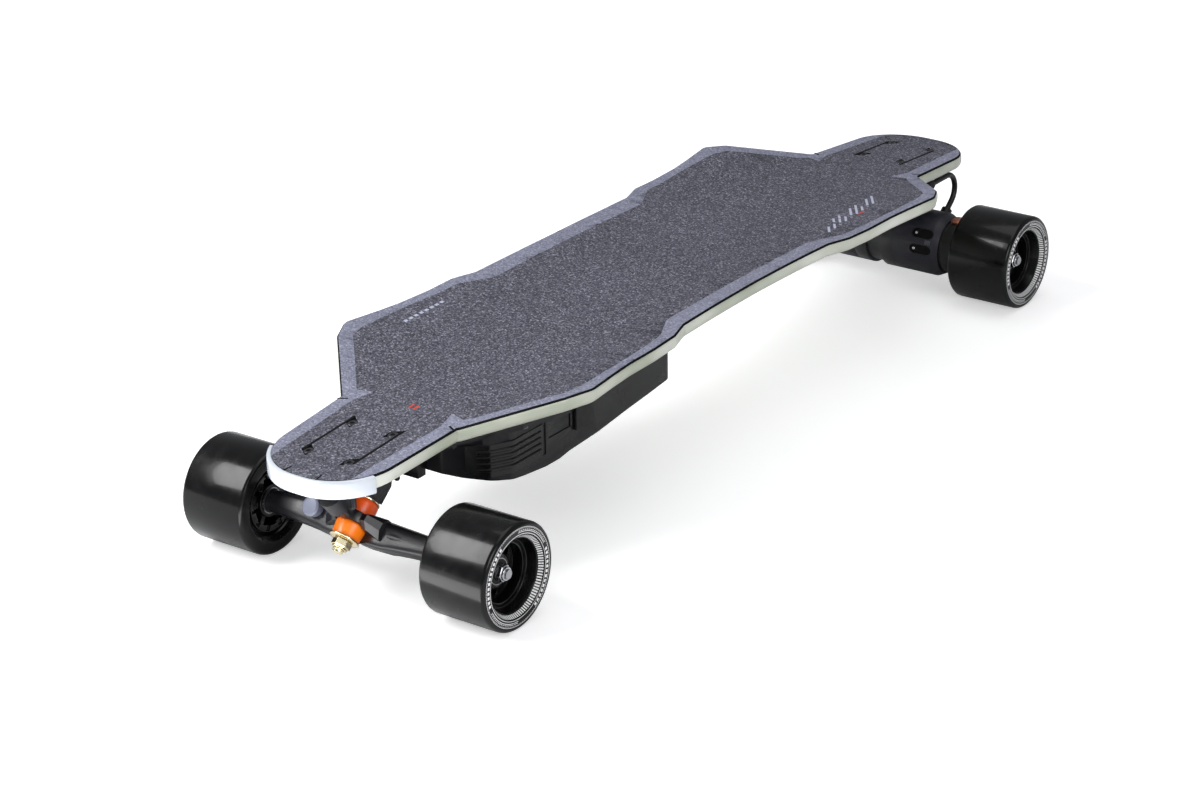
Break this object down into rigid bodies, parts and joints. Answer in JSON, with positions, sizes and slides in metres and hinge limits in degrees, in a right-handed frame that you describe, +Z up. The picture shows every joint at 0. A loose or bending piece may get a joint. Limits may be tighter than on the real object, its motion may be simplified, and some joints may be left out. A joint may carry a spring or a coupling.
{
  "type": "electric longboard",
  "caption": "Cambered longboard deck with wheel cut-outs, sprung reverse-kingpin trucks, coaxial rear drive motors and a battery enclosure slung under the front half.",
  "frame": {"origin": "on the ground under the middle of the board's box", "axes": "+X forward to the nose, +Y to the rider's left, +Z up"},
  "size_m": [0.968, 0.3084, 0.1485],
  "materials": {
    "deck_laminate": "satin lacquered laminate edge",
    "grip_dark": "coarse mineral grip",
    "grip_light": "coarse mineral grip, light",
    "bumper_white": "smooth white",
    "black_rubber": "matt",
    "cast_black": "satin powder coat",
    "gold_zinc": "bright yellow zinc plate",
    "bushing_orange": "satin urethane",
    "pivot_urethane": "matt",
    "black_bolt": "black oxide",
    "steel": "turned",
    "chrome_nut": "bright",
    "enclosure_black": "satin gloss",
    "panel_black": "gloss",
    "black_plastic": "moulded",
    "cell_green": "shrink sleeve",
    "tray_blue": "moulded",
    "controller_alu": "milled",
    "lead_red": "insulated",
    "board_green": "circuit board",
    "cable_black": "sheathed",
    "motor_black": "matt anodised",
    "stator_copper": "copper windings and laminations",
    "copper_lug": "anodised copper colour",
    "tyre_urethane": "gloss urethane",
    "core_black": "moulded",
    "bearing_steel": "ground"
  },
  "bodies": {
    "board": {"deck_core": "deck_laminate", "grip_centre": "grip_dark", "grip_border": "grip_light", "nose_bumper": "bumper_white", "deck_cable_ribbon": "cable_black", "riser_pads": "black_rubber", "front_baseplate": "cast_black", "rear_baseplate": "cast_black", "kingpins": "gold_zinc", "kingpin_nuts": "gold_zinc", "pivot_cups": "pivot_urethane", "front_bushings": "bushing_orange", "rear_bushings": "bushing_orange", "cup_washers": "gold_zinc", "truck_bolts": "black_bolt", "truck_lock_nuts": "black_bolt", "enclosure_shell": "enclosure_black", "enclosure_gasket": "black_rubber", "enclosure_screws": "black_bolt", "side_panels": "panel_black", "front_cable_block": "black_plastic", "battery_cells": "cell_green", "battery_tray": "tray_blue", "battery_leads": "lead_red", "motor_controller": "controller_alu", "charge_jack": "black_plastic", "power_switch": "board_green", "cable_strain_reliefs": "black_rubber", "left_motor_cable": "cable_black", "right_motor_cable": "cable_black"},
    "front_truck": {"front_hanger": "cast_black", "front_axle": "steel", "front_axle_nuts": "chrome_nut", "front_speed_washers": "steel"},
    "rear_truck": {"rear_hanger": "cast_black", "rear_axle": "steel", "rear_axle_nuts": "chrome_nut", "rear_speed_washers": "steel", "motor_housings": "motor_black", "motor_stators": "stator_copper", "motor_cable_glands": "black_rubber"},
    "charge_cover_flap": {"charge_cover": "black_plastic"},
    "power_button_cap": {"power_button": "black_plastic"},
    "front_left_wheel": {"front_left_tyre": "tyre_urethane", "front_left_core": "core_black", "front_left_bearings": "bearing_steel"},
    "front_right_wheel": {"front_right_tyre": "tyre_urethane", "front_right_core": "core_black", "front_right_bearings": "bearing_steel"},
    "rear_left_wheel": {"rear_left_tyre": "tyre_urethane", "rear_left_core": "core_black", "rear_left_bearings": "bearing_steel", "rear_left_rotor": "motor_black", "rear_left_drive_lugs": "copper_lug"},
    "rear_right_wheel": {"rear_right_tyre": "tyre_urethane", "rear_right_core": "core_black", "rear_right_bearings": "bearing_steel", "rear_right_rotor": "motor_black", "rear_right_drive_lugs": "copper_lug"}
  },
  "joints": [
    {"name": "front_steer", "type": "hinge", "parent": "board", "child": "front_truck", "pos_m": [0.4065, 0, 0.045], "axis": [0.6428, 0, 0.766], "range_deg": [-12, 12], "stiffness_Nm_per_rad": 60, "deforming": ["front_bushings"]},
    {"name": "rear_steer", "type": "hinge", "parent": "board", "child": "rear_truck", "pos_m": [-0.4065, 0, 0.045], "axis": [-0.6428, 0, 0.766], "range_deg": [-12, 12], "stiffness_Nm_per_rad": 60, "deforming": ["rear_bushings", "left_motor_cable", "right_motor_cable"]},
    {"name": "charge_cover_hinge", "type": "hinge", "parent": "board", "child": "charge_cover_flap", "pos_m": [0.225, 0.0873, 0.115], "axis": [1, 0, 0], "range_deg": [0, 90]},
    {"name": "power_button_press", "type": "slide", "parent": "board", "child": "power_button_cap", "axis": [0, 1, 0], "range_m": [0, 0.0015], "stiffness_N_per_m": 800, "springref_m": -0.0004},
    {"name": "front_left_spin", "type": "hinge", "parent": "front_truck", "child": "front_left_wheel", "pos_m": [0.4065, 0.122, 0.045], "axis": [0, 1, 0], "continuous": true},
    {"name": "front_right_spin", "type": "hinge", "parent": "front_truck", "child": "front_right_wheel", "pos_m": [0.4065, -0.122, 0.045], "axis": [0, 1, 0], "continuous": true},
    {"name": "rear_left_spin", "type": "hinge", "parent": "rear_truck", "child": "rear_left_wheel", "pos_m": [-0.4065, 0.122, 0.045], "axis": [0, 1, 0], "continuous": true},
    {"name": "rear_right_spin", "type": "hinge", "parent": "rear_truck", "child": "rear_right_wheel", "pos_m": [-0.4065, -0.122, 0.045], "axis": [0, 1, 0], "continuous": true}
  ]
}
